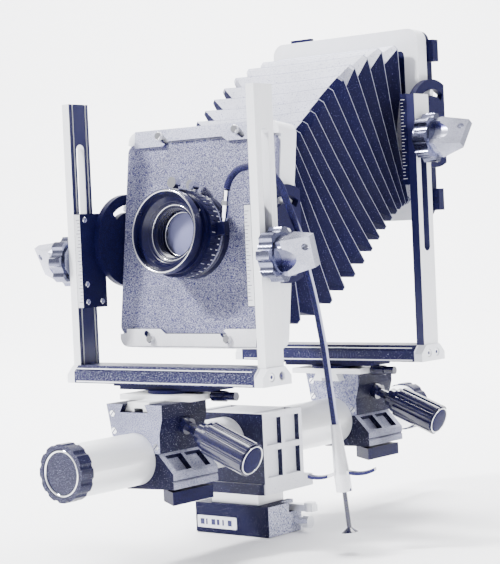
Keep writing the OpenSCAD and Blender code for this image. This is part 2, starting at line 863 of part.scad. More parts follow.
module lens_rear_barrel() {
    color("black") on_lens_axis() difference() {
        union() {
            translate([0, 0, -board_t - 3 - free_gap]) cylinder(r = lens_hole_r + 3, h = 3);
            translate([0, 0, -board_t - 16]) cylinder(r = lens_hole_r - 1, h = 16 - free_gap);
        }
        translate([0, 0, -board_t - 17]) cylinder(r = glass_r - 3, h = 18);
    }
}

// ---------------------------------------------------------------- film frame and back

module film_frame() {
    color("lavender") at_frame(false) difference() {
        union() {
            along_y(film_front, film_depth) round_rect(frame_w, film_frame_h, 10);
            frame_pivots();
        }
        along_y(film_front - 1, film_depth + 2)
            round_rect(frame_w - 2 * frame_border, frame_w - 2 * frame_border, 4);
    }
}

film_back_y = film_front + film_depth;

module film_back() {
    color("midnightblue") at_frame(false) {
        difference() {
            along_y(film_back_y, film_back_t) round_rect(frame_w - 2, film_frame_h - 2, 9);
            along_y(film_back_y - 1, film_back_t + 2) square([glass_w - 5, glass_h - 5], center = true);
        }
        // the two catches on the right and the clip on top
        for (z = [-68, 49])
            translate([frame_w / 2 - 3, film_back_y + 2, z]) cube([8, 7.5, 17]);
        translate([-62, film_back_y + 1, film_frame_h / 2 - 2]) cube([20, 4.5, 6]);
    }
}

module ground_glass_frame() {
    y0 = film_back_y + film_back_t + slide_gap;
    color("midnightblue") at_frame(false) difference() {
        along_y(y0, 6) round_rect(glass_w + 9, glass_h + 16, 4);
        along_y(y0 - 1, 8) square([glass_w - 9, glass_h - 9], center = true);
        along_y(y0 - 1, 4) square([glass_w + 0.4, glass_h + 0.4], center = true);
    }
}

module ground_glass() {
    y0 = film_back_y + film_back_t + slide_gap;
    color("aliceblue") at_frame(false)
        along_y(y0 + 1, 2 - 0.02) square([glass_w, glass_h], center = true);
}

// ---------------------------------------------------------------- bellows

bellows_start = [0, -front_place + disc_y, bar_z + front_knob_z + disc_lift]
    + [0, cos(lens_tilt) * (frame_back + free_gap), -sin(lens_tilt) * (frame_back + free_gap)];
bellows_end = [0, rear_place + disc_y + film_front - free_gap, bar_z + rear_knob_z + disc_lift];
bellows_from = bellows_start + bellows_pull * [0, cos(lens_tilt), -sin(lens_tilt)];
bellows_to = bellows_end - bellows_pull * [0, 1, 0];

function bellows_at(t) =
    pow(1 - t, 3) * bellows_start + 3 * t * pow(1 - t, 2) * bellows_from
    + 3 * t * t * (1 - t) * bellows_to + pow(t, 3) * bellows_end;
function bellows_along(t) = unit(bellows_at(min(1, t + 0.001)) - bellows_at(max(0, t - 0.001)));
function octagon(w, h, c) = [
    [w - c, -h], [w, -h + c], [w, h - c], [w - c, h],
    [-w + c, h], [-w, h - c], [-w, -h + c], [-w + c, -h]
];
function bellows_ring(t, inset) =
    let (p = bellows_at(t), d = bellows_along(t), n = [0, -d[2], d[1]])
    [for (q = octagon(
        mix(bellows_w0, bellows_w1, t) / 2 - inset,
        mix(bellows_h0, bellows_h1, t) / 2 - inset, bellows_cut
    )) p + [q[0], 0, 0] + q[1] * n];

// A closed skin between rings of n points: outside, back down the inside, round again.
function tube_faces(rings, n) = [
    for (i = [0 : rings - 1], j = [0 : n - 1])
        let (k = (i + 1) % rings, m = (j + 1) % n)
        each [[i * n + j, i * n + m, k * n + m], [i * n + j, k * n + m, k * n + j]]
];

module bellows() {
    n = 8;
    outside = [for (i = [0 : bellows_rings - 1]) bellows_ring(i / (bellows_rings - 1), 0)];
    inside = [for (i = [bellows_rings - 1 : -1 : 0]) bellows_ring(i / (bellows_rings - 1), bellows_wall)];
    points = [for (r = concat(outside, inside)) each r];
    color("midnightblue") polyhedron(points, tube_faces(2 * bellows_rings, n));
}

// ---------------------------------------------------------------- cable release

// Points of a ring round the cable, square to the way it runs.
function cable_ring(i) =
    let (
        last = len(cable_route) - 1,
        d = unit(cable_route[min(i + 1, last)] - cable_route[max(i - 1, 0)]),
        u = unit(cross(d, [0, 1, 0.2])),
        v = cross(d, u)
    )
    [for (k = [0 : cable_sides - 1])
        let (a = 360 * k / cable_sides)
        cable_route[i] + cable_d / 2 * (cos(a) * u + sin(a) * v)];

module cable() {
    n = len(cable_route);
    points = [for (i = [0 : n - 1]) each cable_ring(i)];
    walls = [for (i = [0 : n - 2], j = [0 : cable_sides - 1])
        let (m = (j + 1) % cable_sides)
        each [
            [i * cable_sides + j, (i + 1) * cable_sides + j, (i + 1) * cable_sides + m],
            [i * cable_sides + j, (i + 1) * cable_sides + m, i * cable_sides + m]
        ]];
    first = [for (j = [0 : cable_sides - 1]) j];
    last = [for (j = [cable_sides - 1 : -1 : 0]) (n - 1) * cable_sides + j];
    color("midnightblue") polyhedron(points, concat(walls, [first, last]));
}

// Turns +Z to a direction and moves to a point.
module aimed(point, direction) {
    d = unit(direction);
    translate(point) rotate([0, acos(d[2]), atan2(d[1], d[0])]) children();
}

// A point of the lens's own frame in the camera's: across, up, and forwards from the board.
function from_lens(x, up, ahead) =
    let (y = lens_board_y - ahead, z = up)
    front_place_v() + [
        x,
        disc_y + y * cos(lens_tilt) + z * sin(lens_tilt),
        front_knob_z + disc_lift - y * sin(lens_tilt) + z * cos(lens_tilt)
    ];
socket_r = shutter_r + 5;
socket_side = 4.5 + slide_gap;
socket_point = from_lens(
    socket_r * cos(socket_angle) - socket_side * sin(socket_angle),
    socket_r * sin(socket_angle) + socket_side * cos(socket_angle), 12.2
);

module cable_ferrule() {
    tip = cable_route[0];
    dir = tip - socket_point;
    length = norm(dir);
    color("silver") aimed(socket_point, dir) {
        translate([0, 0, 1]) cylinder(r = 2.4, h = length - 1.6);
        translate([0, 0, 4]) cylinder(r = 3.6, h = 9);
        translate([0, 0, 12.9]) cylinder(r1 = 3.6, r2 = 2.6, h = 3);
    }
}

sleeve_start = cable_route[len(cable_route) - 1] + 0.2 * release_dir;
plate_reach = 22;

module cable_sleeve() {
    color("silver") aimed(sleeve_start, release_dir) difference() {
        union() {
            cylinder(r1 = 3.2, r2 = 5.5, h = sleeve_len);
            translate([0, 0, sleeve_len - eps]) cylinder(r = 5.5, h = 12);
            // finger plate, bowed away from the hand
            for (side = [-1, 1])
                translate([0, 3.5, 0]) rotate([90, 0, 0]) linear_extrude(7) intersection() {
                    translate([side * (plate_reach / 2 + 1.5), sleeve_len - 1]) square([plate_reach, 14], center = true);
                    translate([side * 14, sleeve_len - 24]) difference() {
                        circle(r = 26);
                        circle(r = 24);
                    }
                }
        }
        translate([0, 0, sleeve_len - 12]) cylinder(r = 3.6, h = 26);
    }
}

plunger_rod = 28;

module cable_plunger() {
    color("gainsboro") aimed(sleeve_start, release_dir) translate([0, 0, sleeve_len]) {
        translate([0, 0, -1]) cylinder(r = 3.6 - turn_gap, h = 9);
        cylinder(r = 1.6, h = 12 + plunger_rod);
        translate([0, 0, 12 + plunger_rod - 3]) cylinder(r1 = 2, r2 = 6, h = 3);
    }
}

// ---------------------------------------------------------------- drawing

shoe_body();
shoe_clamp_lever();
shoe_safety_pin();
quick_release_plate();
clamp_block();
clamp_pad();
clamp_knob();
rail_tube();
rail_front_cap();
rail_rear_cap();
color("midnightblue") carriage(true);  // front_carriage
color("midnightblue") carriage_jaw(true);  // front_carriage_jaw
color("silver") jaw_lever(true);  // front_jaw_lever
color("silver") focus_knob(true);  // front_focus_knob
color("whitesmoke") focus_slide(true);  // front_focus_slide
color("gainsboro") turntable(true);  // front_turntable
color("midnightblue") swing_knob(true);  // front_swing_knob
color("slategray") base_bar(true);  // front_base_bar
color("whitesmoke") uprights(true);  // front_uprights
color("lavender") slider_plates(true);  // front_slider_plates
color("silver") ring_knob(true, -1);  // front_ring_left
color("silver") ring_knob(true, 1);  // front_ring_right
color("silver") lock_lever(true, -1, 25);  // front_lever_left
color("silver") lock_lever(true, 1, 20);  // front_lever_right
color("midnightblue") tilt_discs(true);  // front_tilt_discs
lens_frame();
color("midnightblue") carriage(false);  // rear_carriage
color("midnightblue") carriage_jaw(false);  // rear_carriage_jaw
color("silver") jaw_lever(false);  // rear_jaw_lever
color("silver") focus_knob(false);  // rear_focus_knob
color("whitesmoke") focus_slide(false);  // rear_focus_slide
color("gainsboro") turntable(false);  // rear_turntable
color("midnightblue") swing_knob(false);  // rear_swing_knob
color("slategray") base_bar(false);  // rear_base_bar
color("whitesmoke") uprights(false);  // rear_uprights
color("lavender") slider_plates(false);  // rear_slider_plates
color("silver") ring_knob(false, -1);  // rear_ring_left
color("silver") ring_knob(false, 1);  // rear_ring_right
color("silver") lock_lever(false, -1, 40);  // rear_lever_left
color("silver") lock_lever(false, 1, -35);  // rear_lever_right
color("midnightblue") tilt_discs(false);  // rear_tilt_discs
film_frame();
lens_board();
color("lightsteelblue") board_latch(true);  // board_latch_top
color("whitesmoke") board_latch(false);  // board_latch_bottom
shutter_body();
aperture_ring();
speed_ring();
lens_front_barrel();
lens_glass();
lens_rear_barrel();
cocking_lever();
film_back();
ground_glass_frame();
ground_glass();
bellows();
cable();
cable_ferrule();
cable_sleeve();
cable_plunger();
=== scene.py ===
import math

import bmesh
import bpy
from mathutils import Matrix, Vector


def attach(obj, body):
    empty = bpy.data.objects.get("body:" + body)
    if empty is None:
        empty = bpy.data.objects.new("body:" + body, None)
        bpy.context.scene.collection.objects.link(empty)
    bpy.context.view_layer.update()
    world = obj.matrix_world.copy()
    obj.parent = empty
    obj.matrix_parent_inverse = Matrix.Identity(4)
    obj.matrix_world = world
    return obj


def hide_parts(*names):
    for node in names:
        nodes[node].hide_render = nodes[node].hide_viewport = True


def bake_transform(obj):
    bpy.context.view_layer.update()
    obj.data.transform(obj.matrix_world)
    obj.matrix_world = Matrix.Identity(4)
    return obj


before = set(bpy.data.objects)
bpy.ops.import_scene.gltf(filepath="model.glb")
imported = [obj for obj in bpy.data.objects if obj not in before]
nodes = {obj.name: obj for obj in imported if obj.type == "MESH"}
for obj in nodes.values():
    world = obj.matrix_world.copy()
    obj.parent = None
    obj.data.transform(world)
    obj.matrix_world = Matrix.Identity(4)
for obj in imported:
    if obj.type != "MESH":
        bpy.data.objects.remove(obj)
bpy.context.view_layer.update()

# %% [markdown]
# # A monorail view camera
#
# The imported model gives every rigid piece its true shape and place. This script adds what makes
# them look real: finishes, screws, scales, glass, and the pleated bellows and braided cable.

# %% [markdown]
# A long lens from far away keeps a camera's parallel edges nearly parallel, which is how product
# pictures are taken. The place and the three angles are given as numbers, and the turn matrix is
# built from them.

# %% camera
MM = 0.001
EYE = Vector((0.78514, -0.97023, 0.22115))
LENS = 107.56
YAW, PITCH, ROLL = (math.radians(a) for a in (38.57, -1.69, -2.58))


def aim_camera():
    ahead = Vector((-math.sin(YAW) * math.cos(PITCH), math.cos(YAW) * math.cos(PITCH), math.sin(PITCH)))
    right = Vector((math.cos(YAW), math.sin(YAW), 0))
    up = right.cross(ahead)
    rolled = right * math.cos(ROLL) + up * math.sin(ROLL)
    top = up * math.cos(ROLL) - right * math.sin(ROLL)
    data = bpy.data.cameras.new("view")
    data.sensor_fit = "VERTICAL"
    data.sensor_height = 36
    data.lens = LENS
    camera = bpy.data.objects.new("view", data)
    turn = Matrix((rolled, top, -ahead)).transposed().to_4x4()
    camera.matrix_world = Matrix.Translation(EYE) @ turn
    bpy.context.scene.collection.objects.link(camera)
    bpy.context.scene.camera = camera


aim_camera()
print("camera at", tuple(round(v, 3) for v in EYE))

# %% [markdown]
# ## Small helpers
#
# Each new piece is a mesh made in code. Two helpers make a mesh from points, and turn a profile
# about an axis. A third gives the piece its finish and the body that it rides on.

# %% helpers for meshes
def mesh_piece(name, points, faces, smooth=False):
    mesh = bpy.data.meshes.new(name)
    mesh.from_pydata([tuple(p) for p in points], [], faces)
    for face in mesh.polygons:
        face.use_smooth = smooth
    piece = bpy.data.objects.new(name, mesh)
    bpy.context.scene.collection.objects.link(piece)
    return piece


def tidy_normals(piece):
    shape = bmesh.new()
    shape.from_mesh(piece.data)
    bmesh.ops.recalc_face_normals(shape, faces=shape.faces)
    shape.to_mesh(piece.data)
    shape.free()
    return piece


def frame_along(direction):
    z = Vector(direction).normalized()
    x = z.orthogonal().normalized()
    return Matrix((x, z.cross(x), z)).transposed()


def turned(profile, sides=32):
    """Points and faces of a profile of (radius, height) turned about Z; the ends are closed."""
    points = [
        (r * math.cos(2 * math.pi * k / sides), r * math.sin(2 * math.pi * k / sides), h)
        for r, h in profile
        for k in range(sides)
    ]
    faces = []
    for i in range(len(profile) - 1):
        low, high = i * sides, (i + 1) * sides
        for k in range(sides):
            m = (k + 1) % sides
            faces.append((low + k, low + m, high + m, high + k))
    faces.append(tuple(range(sides))[::-1])
    faces.append(tuple((len(profile) - 1) * sides + k for k in range(sides)))
    return points, faces


def many(name, shape, places, smooth=False):
    """One piece that holds a copy of a shape at each place: a point in mm and the way its +Z points."""
    points, faces = [], []
    for place, direction in places:
        turn = frame_along(direction)
        start = len(points)
        points += [(turn @ Vector(p) + Vector(place)) * MM for p in shape[0]]
        faces += [tuple(start + i for i in face) for face in shape[1]]
    return tidy_normals(mesh_piece(name, points, faces, smooth))


def block(low, high):
    """Points and faces of a box with its corners at low and high, in mm."""
    corners = [
        (x, y, z) for z in (low[2], high[2]) for y in (low[1], high[1]) for x in (low[0], high[0])
    ]
    return corners, [(0, 2, 3, 1), (4, 5, 7, 6), (0, 1, 5, 4), (2, 6, 7, 3), (0, 4, 6, 2), (1, 3, 7, 5)]


def blocks(name, boxes, bevel=0.0):
    points, faces = [], []
    for low, high in boxes:
        corners, sides = block(low, high)
        start = len(points)
        points += [Vector(c) * MM for c in corners]
        faces += [tuple(start + i for i in side) for side in sides]
    piece = tidy_normals(mesh_piece(name, points, faces))
    if bevel:
        soft = piece.modifiers.new("soft edges", "BEVEL")
        soft.width = bevel * MM
        soft.segments = 2
    return piece


def dress(piece, material, body):
    piece.data.materials.clear()
    piece.data.materials.append(material)
    if body:
        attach(piece, body)
    return piece


# %% [markdown]
# ## Finishes
#
# The metal parts differ mostly in how they were finished: crinkle paint, hammered paint, brushed
# and satin metal, and polish. All of them are one recipe with other numbers: a fine speckle that
# mixes two colours, and a bump of the same grain. Grain is measured in metres, so a finish has
# the right scale on every piece. A face that looks one way may take its own colour and speckle:
# that is painted light, paler on faces the light falls on and darker on faces in shade.

# %% the recipe
def wire(tree, source, out, target, into):
    tree.links.new(source.outputs[out], target.inputs[into])


def grain_source(tree, stretch=(1, 1, 1)):
    where = tree.nodes.new("ShaderNodeTexCoord")
    scale = tree.nodes.new("ShaderNodeMapping")
    scale.inputs["Scale"].default_value = stretch
    wire(tree, where, "Object", scale, "Vector")
    return scale


def noise(tree, source, scale, detail=2.0, rough=0.5):
    node = tree.nodes.new("ShaderNodeTexNoise")
    node.inputs["Scale"].default_value = scale
    node.inputs["Detail"].default_value = detail
    node.inputs["Roughness"].default_value = rough
    wire(tree, source, "Vector", node, "Vector")
    return node


def ramp(tree, source, out, low, high, first=(0, 0, 0, 1), last=(1, 1, 1, 1)):
    node = tree.nodes.new("ShaderNodeValToRGB")
    node.color_ramp.elements[0].position = low
    node.color_ramp.elements[1].position = high
    node.color_ramp.elements[0].color = first
    node.color_ramp.elements[1].color = last
    wire(tree, source, out, node, "Fac")
    return node


def facing(tree, axis, low, high):
    """1 on faces that look along an axis of the piece, and 0 elsewhere."""
    where = tree.nodes.new("ShaderNodeTexCoord")
    dot = tree.nodes.new("ShaderNodeVectorMath")
    dot.operation = "DOT_PRODUCT"
    dot.inputs[1].default_value = axis
    wire(tree, where, "Normal", dot, 0)
    return ramp(tree, dot, "Value", low, high)


def mix_colours(tree, fac, a, b):
    node = tree.nodes.new("ShaderNodeMix")
    node.data_type = "RGBA"
    tree.links.new(fac, node.inputs["Factor"])
    for value, socket in ((a, node.inputs[6]), (b, node.inputs[7])):
        if hasattr(value, "is_output"):
            tree.links.new(value, socket)
        else:
            socket.default_value = (*value, 1)
    return node.outputs[2]


def cut_for(cover):
    """Where the noise is cut, so that specks take about that share of a face."""
    return 0.5 + (0.5 - cover) * 0.36


def finish(
    name, colour, roughness, metal=0.0, speck=None, speck_scale=1500, cover=0.5, sharp=0.05,
    stretch=(1, 1, 1), bump=0.1, coat=0.0, face=None, face_colour=None, face_cover=None,
    face_limits=(0.55, 0.75), patches=0.15
):
    """colour with specks of another colour over a share of it, and its own grain as bump."""
    material = bpy.data.materials.new(name)
    material.use_nodes = True
    tree = material.node_tree
    shader = tree.nodes["Principled BSDF"]
    shader.inputs["Metallic"].default_value = metal
    shader.inputs["Coat Weight"].default_value = coat
    source = grain_source(tree, stretch)
    grain = noise(tree, source, speck_scale, 3.0, 0.6)
    edge = cut_for(cover)
    spots = ramp(tree, grain, "Fac", max(0.0, edge - sharp), min(1.0, edge + sharp))
    speck = speck or tuple(min(1.0, c * 1.5 + 0.01) for c in colour)
    base = mix_colours(tree, spots.outputs["Color"], colour, speck)
    # Painted light: faces that look along the given axis take their own colour and speckle, paler where
    # lit and darker in shade.
    if face:
        front = facing(tree, face, *face_limits)
        painted_light_edge = cut_for(face_cover or cover)
        low, high = max(0.0, painted_light_edge - sharp), min(1.0, painted_light_edge + sharp)
        face_spots = ramp(tree, grain, "Fac", low, high)
        face_base = mix_colours(tree, face_spots.outputs["Color"], face_colour or colour, speck)
        base = mix_colours(tree, front.outputs["Color"], base, face_base)
    broad = noise(tree, source, 22, 4.0, 0.6)
    wear_and_sheen = ramp(tree, broad, "Fac", 0.3, 0.75, (1 - patches,) * 3 + (1,), (1, 1, 1, 1))
    shade = tree.nodes.new("ShaderNodeMix")
    shade.data_type = "RGBA"
    shade.blend_type = "MULTIPLY"
    shade.inputs["Factor"].default_value = 1.0
    tree.links.new(base, shade.inputs[6])
    wire(tree, wear_and_sheen, "Color", shade, 7)
    tree.links.new(shade.outputs[2], shader.inputs["Base Color"])
    gloss = ramp(
        tree, broad, "Fac", 0.25, 0.8, (roughness * 0.8,) * 3 + (1,), (min(1, roughness * 1.2),) * 3 + (1,)
    )
    wire(tree, gloss, "Color", shader, "Roughness")
    raised = tree.nodes.new("ShaderNodeBump")
    raised.inputs["Strength"].default_value = bump
    raised.inputs["Distance"].default_value = 0.0003
    wire(tree, grain, "Fac", raised, "Height")
    wire(tree, raised, "Normal", shader, "Normal")
    return material


# %% [markdown]
# Navy-black crinkle paint covers the carriages, the clamp and the caps. The pale speckle on the
# fronts of the castings is painted light, paler where the light falls. Dark paint mirrors little,
# so its specular level is lowered on the shader itself.

# %% dark finishes
DEEP = (0.003, 0.003, 0.028)
PALE = (0.66, 0.68, 0.80)
FRONT = (0, -1, 0)
RIGHT = (1, 0, 0)
SHOULDER = (0.7, 0, 0.7)
MATT = 0.12


def duller(material, level):
    """Lowers how much a material mirrors; the number sits on the shader's own socket."""
    material.node_tree.nodes["Principled BSDF"].inputs["Specular IOR Level"].default_value = level
    return material


crinkle = duller(finish(
    "crinkle paint", DEEP, 0.5, speck=(0.008, 0.008, 0.07), cover=0.35, bump=0.3
), MATT)
# Painted light: the carriages' front faces take a pale speckle where the light falls on them.
casting_lit_front = duller(finish(
    "speckled casting", DEEP, 0.5, speck=(0.55, 0.57, 0.72), speck_scale=1500, cover=0.02, bump=0.4,
    face=FRONT, face_colour=(0.10, 0.10, 0.28), face_cover=0.55, patches=0.5
), MATT)
# Painted light: the jaws' sloping shoulders, lit from above, take a paler speckle.
jaw_paint = duller(finish(
    "speckled jaw", DEEP, 0.5, speck=(0.55, 0.57, 0.72), speck_scale=1500, cover=0.02, bump=0.4,
    face=SHOULDER, face_colour=(0.20, 0.20, 0.36), face_cover=0.6, patches=0.6
), MATT)
# Painted light: the caps' front faces take a little more pale speckle, where the light falls.
cap_paint = duller(finish(
    "cap paint", DEEP, 0.4, speck=(0.30, 0.31, 0.52), speck_scale=1700, cover=0.02, bump=0.3,
    face=FRONT, face_colour=DEEP, face_cover=0.14, coat=0.1
), 0.25)
# Painted light: the shoe's right face is paler than its dark front, as if lit.
shoe_paint = duller(finish(
    "shoe paint", DEEP, 0.6, speck=PALE, speck_scale=1700, cover=0.015, bump=0.3,
    face=RIGHT, face_colour=(0.06, 0.06, 0.2), face_cover=0.58
), MATT)
lens_paint = duller(finish(
    "lens enamel", DEEP, 0.3, speck=(0.006, 0.006, 0.05), cover=0.3, bump=0.05, coat=0.12
), 0.3)
grip = finish("moulded grip", DEEP, 0.24, speck=(0.01, 0.01, 0.06), cover=0.4, bump=0.10, coat=0.6)
print("dark finishes made")

# %% [markdown]
# The light parts are aluminium. The uprights and bars are drawn along their length and then
# anodised, so their grain is stretched that way. The tilting frames have a light satin paint. The
# lens board is hammered: about as much dark as light, in spots a third of a millimetre across.

# %% light finishes
BRIGHT = (0.84, 0.85, 0.90)
DARK_ANODISE_AND_SHADE = (0.008, 0.008, 0.06)
satin = finish(
    "satin aluminium", (0.78, 0.79, 0.84), 0.34, 0.6, speck=(0.90, 0.91, 0.94), stretch=(1, 1, 0.03),
    speck_scale=2600, cover=0.5, sharp=0.2, bump=0.10, patches=0.12
)
# Painted light: each bar's front face takes its own speckle, paler on the lit front bar and dark on the
# rear bar, which lies in shade.
def bar_finish(name, wear_and_sheen):
    return duller(finish(
        name, (0.005, 0.005, 0.045), 0.45, speck=(0.34, 0.35, 0.50), speck_scale=1900, cover=0.03,
        stretch=(0.4, 1, 1), bump=0.15, patches=0.4, face=FRONT, face_colour=DARK_ANODISE_AND_SHADE,
        face_cover=wear_and_sheen
    ), 0.2)


front_bar, rear_bar = bar_finish("front drawn bar", 0.26), bar_finish("rear drawn bar", 0.02)
rail_metal = finish(
    "drawn rail", (0.86, 0.87, 0.90), 0.36, 0.4, speck=(0.93, 0.94, 0.95), stretch=(1, 0.03, 1),
    speck_scale=2400, cover=0.5, sharp=0.2, bump=0.08, patches=0.05
)
light_paint = finish(
    "light satin paint", BRIGHT, 0.42, speck=(0.40, 0.41, 0.58), speck_scale=1700,
    cover=0.03, bump=0.12, patches=0.06
)
# Painted shade: the clamp block's front face is dark, as in shadow.
block_paint = duller(finish(
    "clamp block paint", (0.82, 0.83, 0.89), 0.45, speck=(0.25, 0.26, 0.46), speck_scale=1500,
    cover=0.05, bump=0.2, face=FRONT, face_colour=DEEP, face_cover=0.01
), 0.2)
hammered = finish(
    "hammered board", (0.44, 0.45, 0.60), 0.5, speck=(0.018, 0.017, 0.13), speck_scale=1500,
    cover=0.55, sharp=0.06, bump=0.3, patches=0.5
)
latch_grey = finish(
    "latch grey", (0.55, 0.56, 0.68), 0.4, 0.3, speck=(0.25, 0.26, 0.42), cover=0.4, bump=0.2
)
latch_white = finish(
    "latch white", (0.80, 0.81, 0.87), 0.4, 0.1, speck=(0.9, 0.9, 0.94), cover=0.4, bump=0.1
)
ring_metal = finish(
    "lock ring metal", (0.24, 0.25, 0.38), 0.2, 1.0, speck=(0.40, 0.41, 0.54), cover=0.4,
    bump=0.06, patches=0.6
)
polish = finish(
    "polished metal", (0.84, 0.85, 0.89), 0.12, 1.0, speck=(0.9, 0.9, 0.93), cover=0.3, bump=0.03
)
# Dark filler for the engraved ticks and the label's bars; in the screws' sockets and slots it is painted
# shade.
mark = finish("engraved ink and socket shade", (0.01, 0.01, 0.08), 0.5, speck=(0.03, 0.03, 0.15), cover=0.3, bump=0.05)
pale_mark = finish("pale mark", BRIGHT, 0.4, speck=(0.7, 0.7, 0.8), cover=0.3, bump=0.05)
print("light finishes made")

# %% [markdown]
# The uprights' faces that look back towards the camera's middle are painted shade: dark, as in
# shadow. The base bars' end blocks are bright though the bars are dark. These splits are masks
# from a point's place: the place times the way the face looks is negative on a face that looks
# inwards, and the end blocks lie beyond 84 mm. The latches' slot walls and narrow edges are
# painted shade too, and the sides of the release's sleeve are dark.

# %% split finishes, in metres
INNER_SIDE = -0.03
END_BLOCKS_FROM = 0.0839
SLEEVE_X, SLEEVE_HALF = 0.116, 0.0068


def inward(material, across, limit):
    """1 where a face looks back towards the camera's middle along one axis, and 0 elsewhere."""
    tree = material.node_tree
    where = tree.nodes.new("ShaderNodeTexCoord")
    parts = []
    for out in ("Object", "Normal"):
        split = tree.nodes.new("ShaderNodeSeparateXYZ")
        wire(tree, where, out, split, "Vector")
        parts.append(split)
    product = tree.nodes.new("ShaderNodeMath")
    product.operation = "MULTIPLY"
    wire(tree, parts[0], across, product, 0)
    wire(tree, parts[1], across, product, 1)
    below = tree.nodes.new("ShaderNodeMath")
    below.operation = "LESS_THAN"
    below.inputs[1].default_value = limit
    wire(tree, product, "Value", below, 0)
    return below.outputs["Value"]


def beyond(material, distance, middle=0.0):
    """1 further than a distance from a middle, across the camera."""
    tree = material.node_tree
    where = tree.nodes.new("ShaderNodeTexCoord")
    split = tree.nodes.new("ShaderNodeSeparateXYZ")
    wire(tree, where, "Object", split, "Vector")
    last = split.outputs["X"]
    for operation, value in (("SUBTRACT", middle), ("ABSOLUTE", 0), ("GREATER_THAN", distance)):
        step = tree.nodes.new("ShaderNodeMath")
        step.operation = operation
        step.inputs[1].default_value = value
        tree.links.new(last, step.inputs[0])
        last = step.outputs["Value"]
    return last


def edges(material):
    """1 on the faces that look neither forwards nor back: the walls of slots and the narrow edges."""
    front = facing(material.node_tree, FRONT, 0.5, 0.7)
    front.color_ramp.elements[0].color, front.color_ramp.elements[1].color = (1, 1, 1, 1), (0, 0, 0, 1)
    return front.outputs["Color"]


def repaint(material, mask, colour):
    """Lays a colour over a material where the mask is 1."""
    tree = material.node_tree
    shader = tree.nodes["Principled BSDF"]
    under = shader.inputs["Base Color"].links[0].from_socket
    tree.links.new(mix_colours(tree, mask, under, colour), shader.inputs["Base Color"])


upright_metal = finish(
    "upright aluminium", (0.82, 0.83, 0.88), 0.38, 0.15, speck=(0.92, 0.93, 0.95), stretch=(1, 1, 0.03),
    speck_scale=2600, cover=0.5, sharp=0.2, bump=0.10, patches=0.10
)
# Painted shade on the uprights' faces that look inward.
for across in "XY":
    repaint(upright_metal, inward(upright_metal, across, INNER_SIDE), DARK_ANODISE_AND_SHADE)
for bar in (front_bar, rear_bar):
    repaint(bar, beyond(bar, END_BLOCKS_FROM), BRIGHT)
# Painted shade on the latches' slot walls and narrow edges.
for latch in (latch_grey, latch_white):
    repaint(latch, edges(latch), (0.03, 0.03, 0.14))
sleeve_metal = finish(
    "release sleeve", (0.80, 0.81, 0.87), 0.25, 0.5, speck=(0.9, 0.9, 0.93), bump=0.03
)
repaint(sleeve_metal, beyond(sleeve_metal, SLEEVE_HALF, SLEEVE_X), (0.01, 0.01, 0.07))
# Painted shade: the levers' faces that look straight forward are dark.
lever_metal = finish(
    "lever metal", (0.42, 0.43, 0.56), 0.25, 0.7, speck=(0.6, 0.61, 0.72), cover=0.5, bump=0.06,
    patches=0.5, face=FRONT, face_colour=(0.05, 0.05, 0.18), face_cover=0.10, face_limits=(0.90, 0.97)
)
print("uprights, bars, latches and release sleeve split")

# %% [markdown]
# The front glass is coated and deep; the focusing glass is ground on one side, so it scatters
# light. Both are glass shaders, whose roughness makes the difference.

# %% glass
def glass_finish(name, colour, roughness, see_through):
    material = finish(name, colour, roughness, speck=colour, cover=0.5, bump=0.02, patches=0.02)
    shader = material.node_tree.nodes["Principled BSDF"]
    for link in list(shader.inputs["Roughness"].links):
        material.node_tree.links.remove(link)
    shader.inputs["Roughness"].default_value = roughness
    shader.inputs["Transmission Weight"].default_value = see_through
    shader.inputs["IOR"].default_value = 1.6
    return material


coated = glass_finish("coated glass", (0.30, 0.31, 0.55), 0.02, 0.3)
ground = glass_finish("ground glass", (0.85, 0.87, 0.92), 0.5, 0.4)
print("glass made")

# %% [markdown]
# Every rigid node of the frame keeps its mesh and takes one of these finishes.

# %% finishes onto the frame's nodes
WEARS = {
    "shoe_body": shoe_paint, "clamp_pad": crinkle, "clamp_knob": grip, "quick_release_plate": rail_metal,
    "shoe_clamp_lever": satin, "shoe_safety_pin": polish, "clamp_block": block_paint,
    "rail_tube": rail_metal, "rail_front_cap": cap_paint, "rail_rear_cap": cap_paint,
    "lens_frame": light_paint, "film_frame": light_paint, "lens_board": hammered,
    "board_latch_top": latch_grey, "board_latch_bottom": latch_white, "shutter_body": lens_paint,
    "aperture_ring": polish, "speed_ring": lens_paint, "lens_front_barrel": lens_paint,
    "lens_rear_barrel": lens_paint, "lens_glass": coated, "cocking_lever": polish,
    "film_back": crinkle, "ground_glass_frame": crinkle, "ground_glass": ground,
    "cable_ferrule": polish, "cable_sleeve": sleeve_metal, "cable_plunger": grip,
}
STANDARD_WEARS = {
    "carriage": casting_lit_front, "carriage_jaw": jaw_paint, "jaw_lever": crinkle, "focus_knob": grip,
    "focus_slide": rail_metal, "turntable": crinkle, "swing_knob": grip, "uprights": upright_metal,
    "slider_plates": crinkle, "ring_left": ring_metal, "ring_right": ring_metal,
    "lever_left": lever_metal, "lever_right": lever_metal, "tilt_discs": crinkle,
}
for end in ("front", "rear"):
    WEARS.update({f"{end}_{piece}": material for piece, material in STANDARD_WEARS.items()})
WEARS.update({"front_base_bar": front_bar, "rear_base_bar": rear_bar})
for name, material in WEARS.items():
    nodes[name].data.materials.clear()
    nodes[name].data.materials.append(material)
print(len(WEARS), "nodes dressed; left for later:", sorted(set(nodes) - set(WEARS)))

# %% [markdown]
# ## The cable release
#
# A braided cable, 5 mm thick, leaves the ferrule on the shutter, bows over beside the lens and
# hangs down to its sleeve. It is a tube swept along a smooth curve through the route's points.
# The hanging part carries a painted highlight, a pale streak along two sides: a value on the
# tube's points carries how strong.

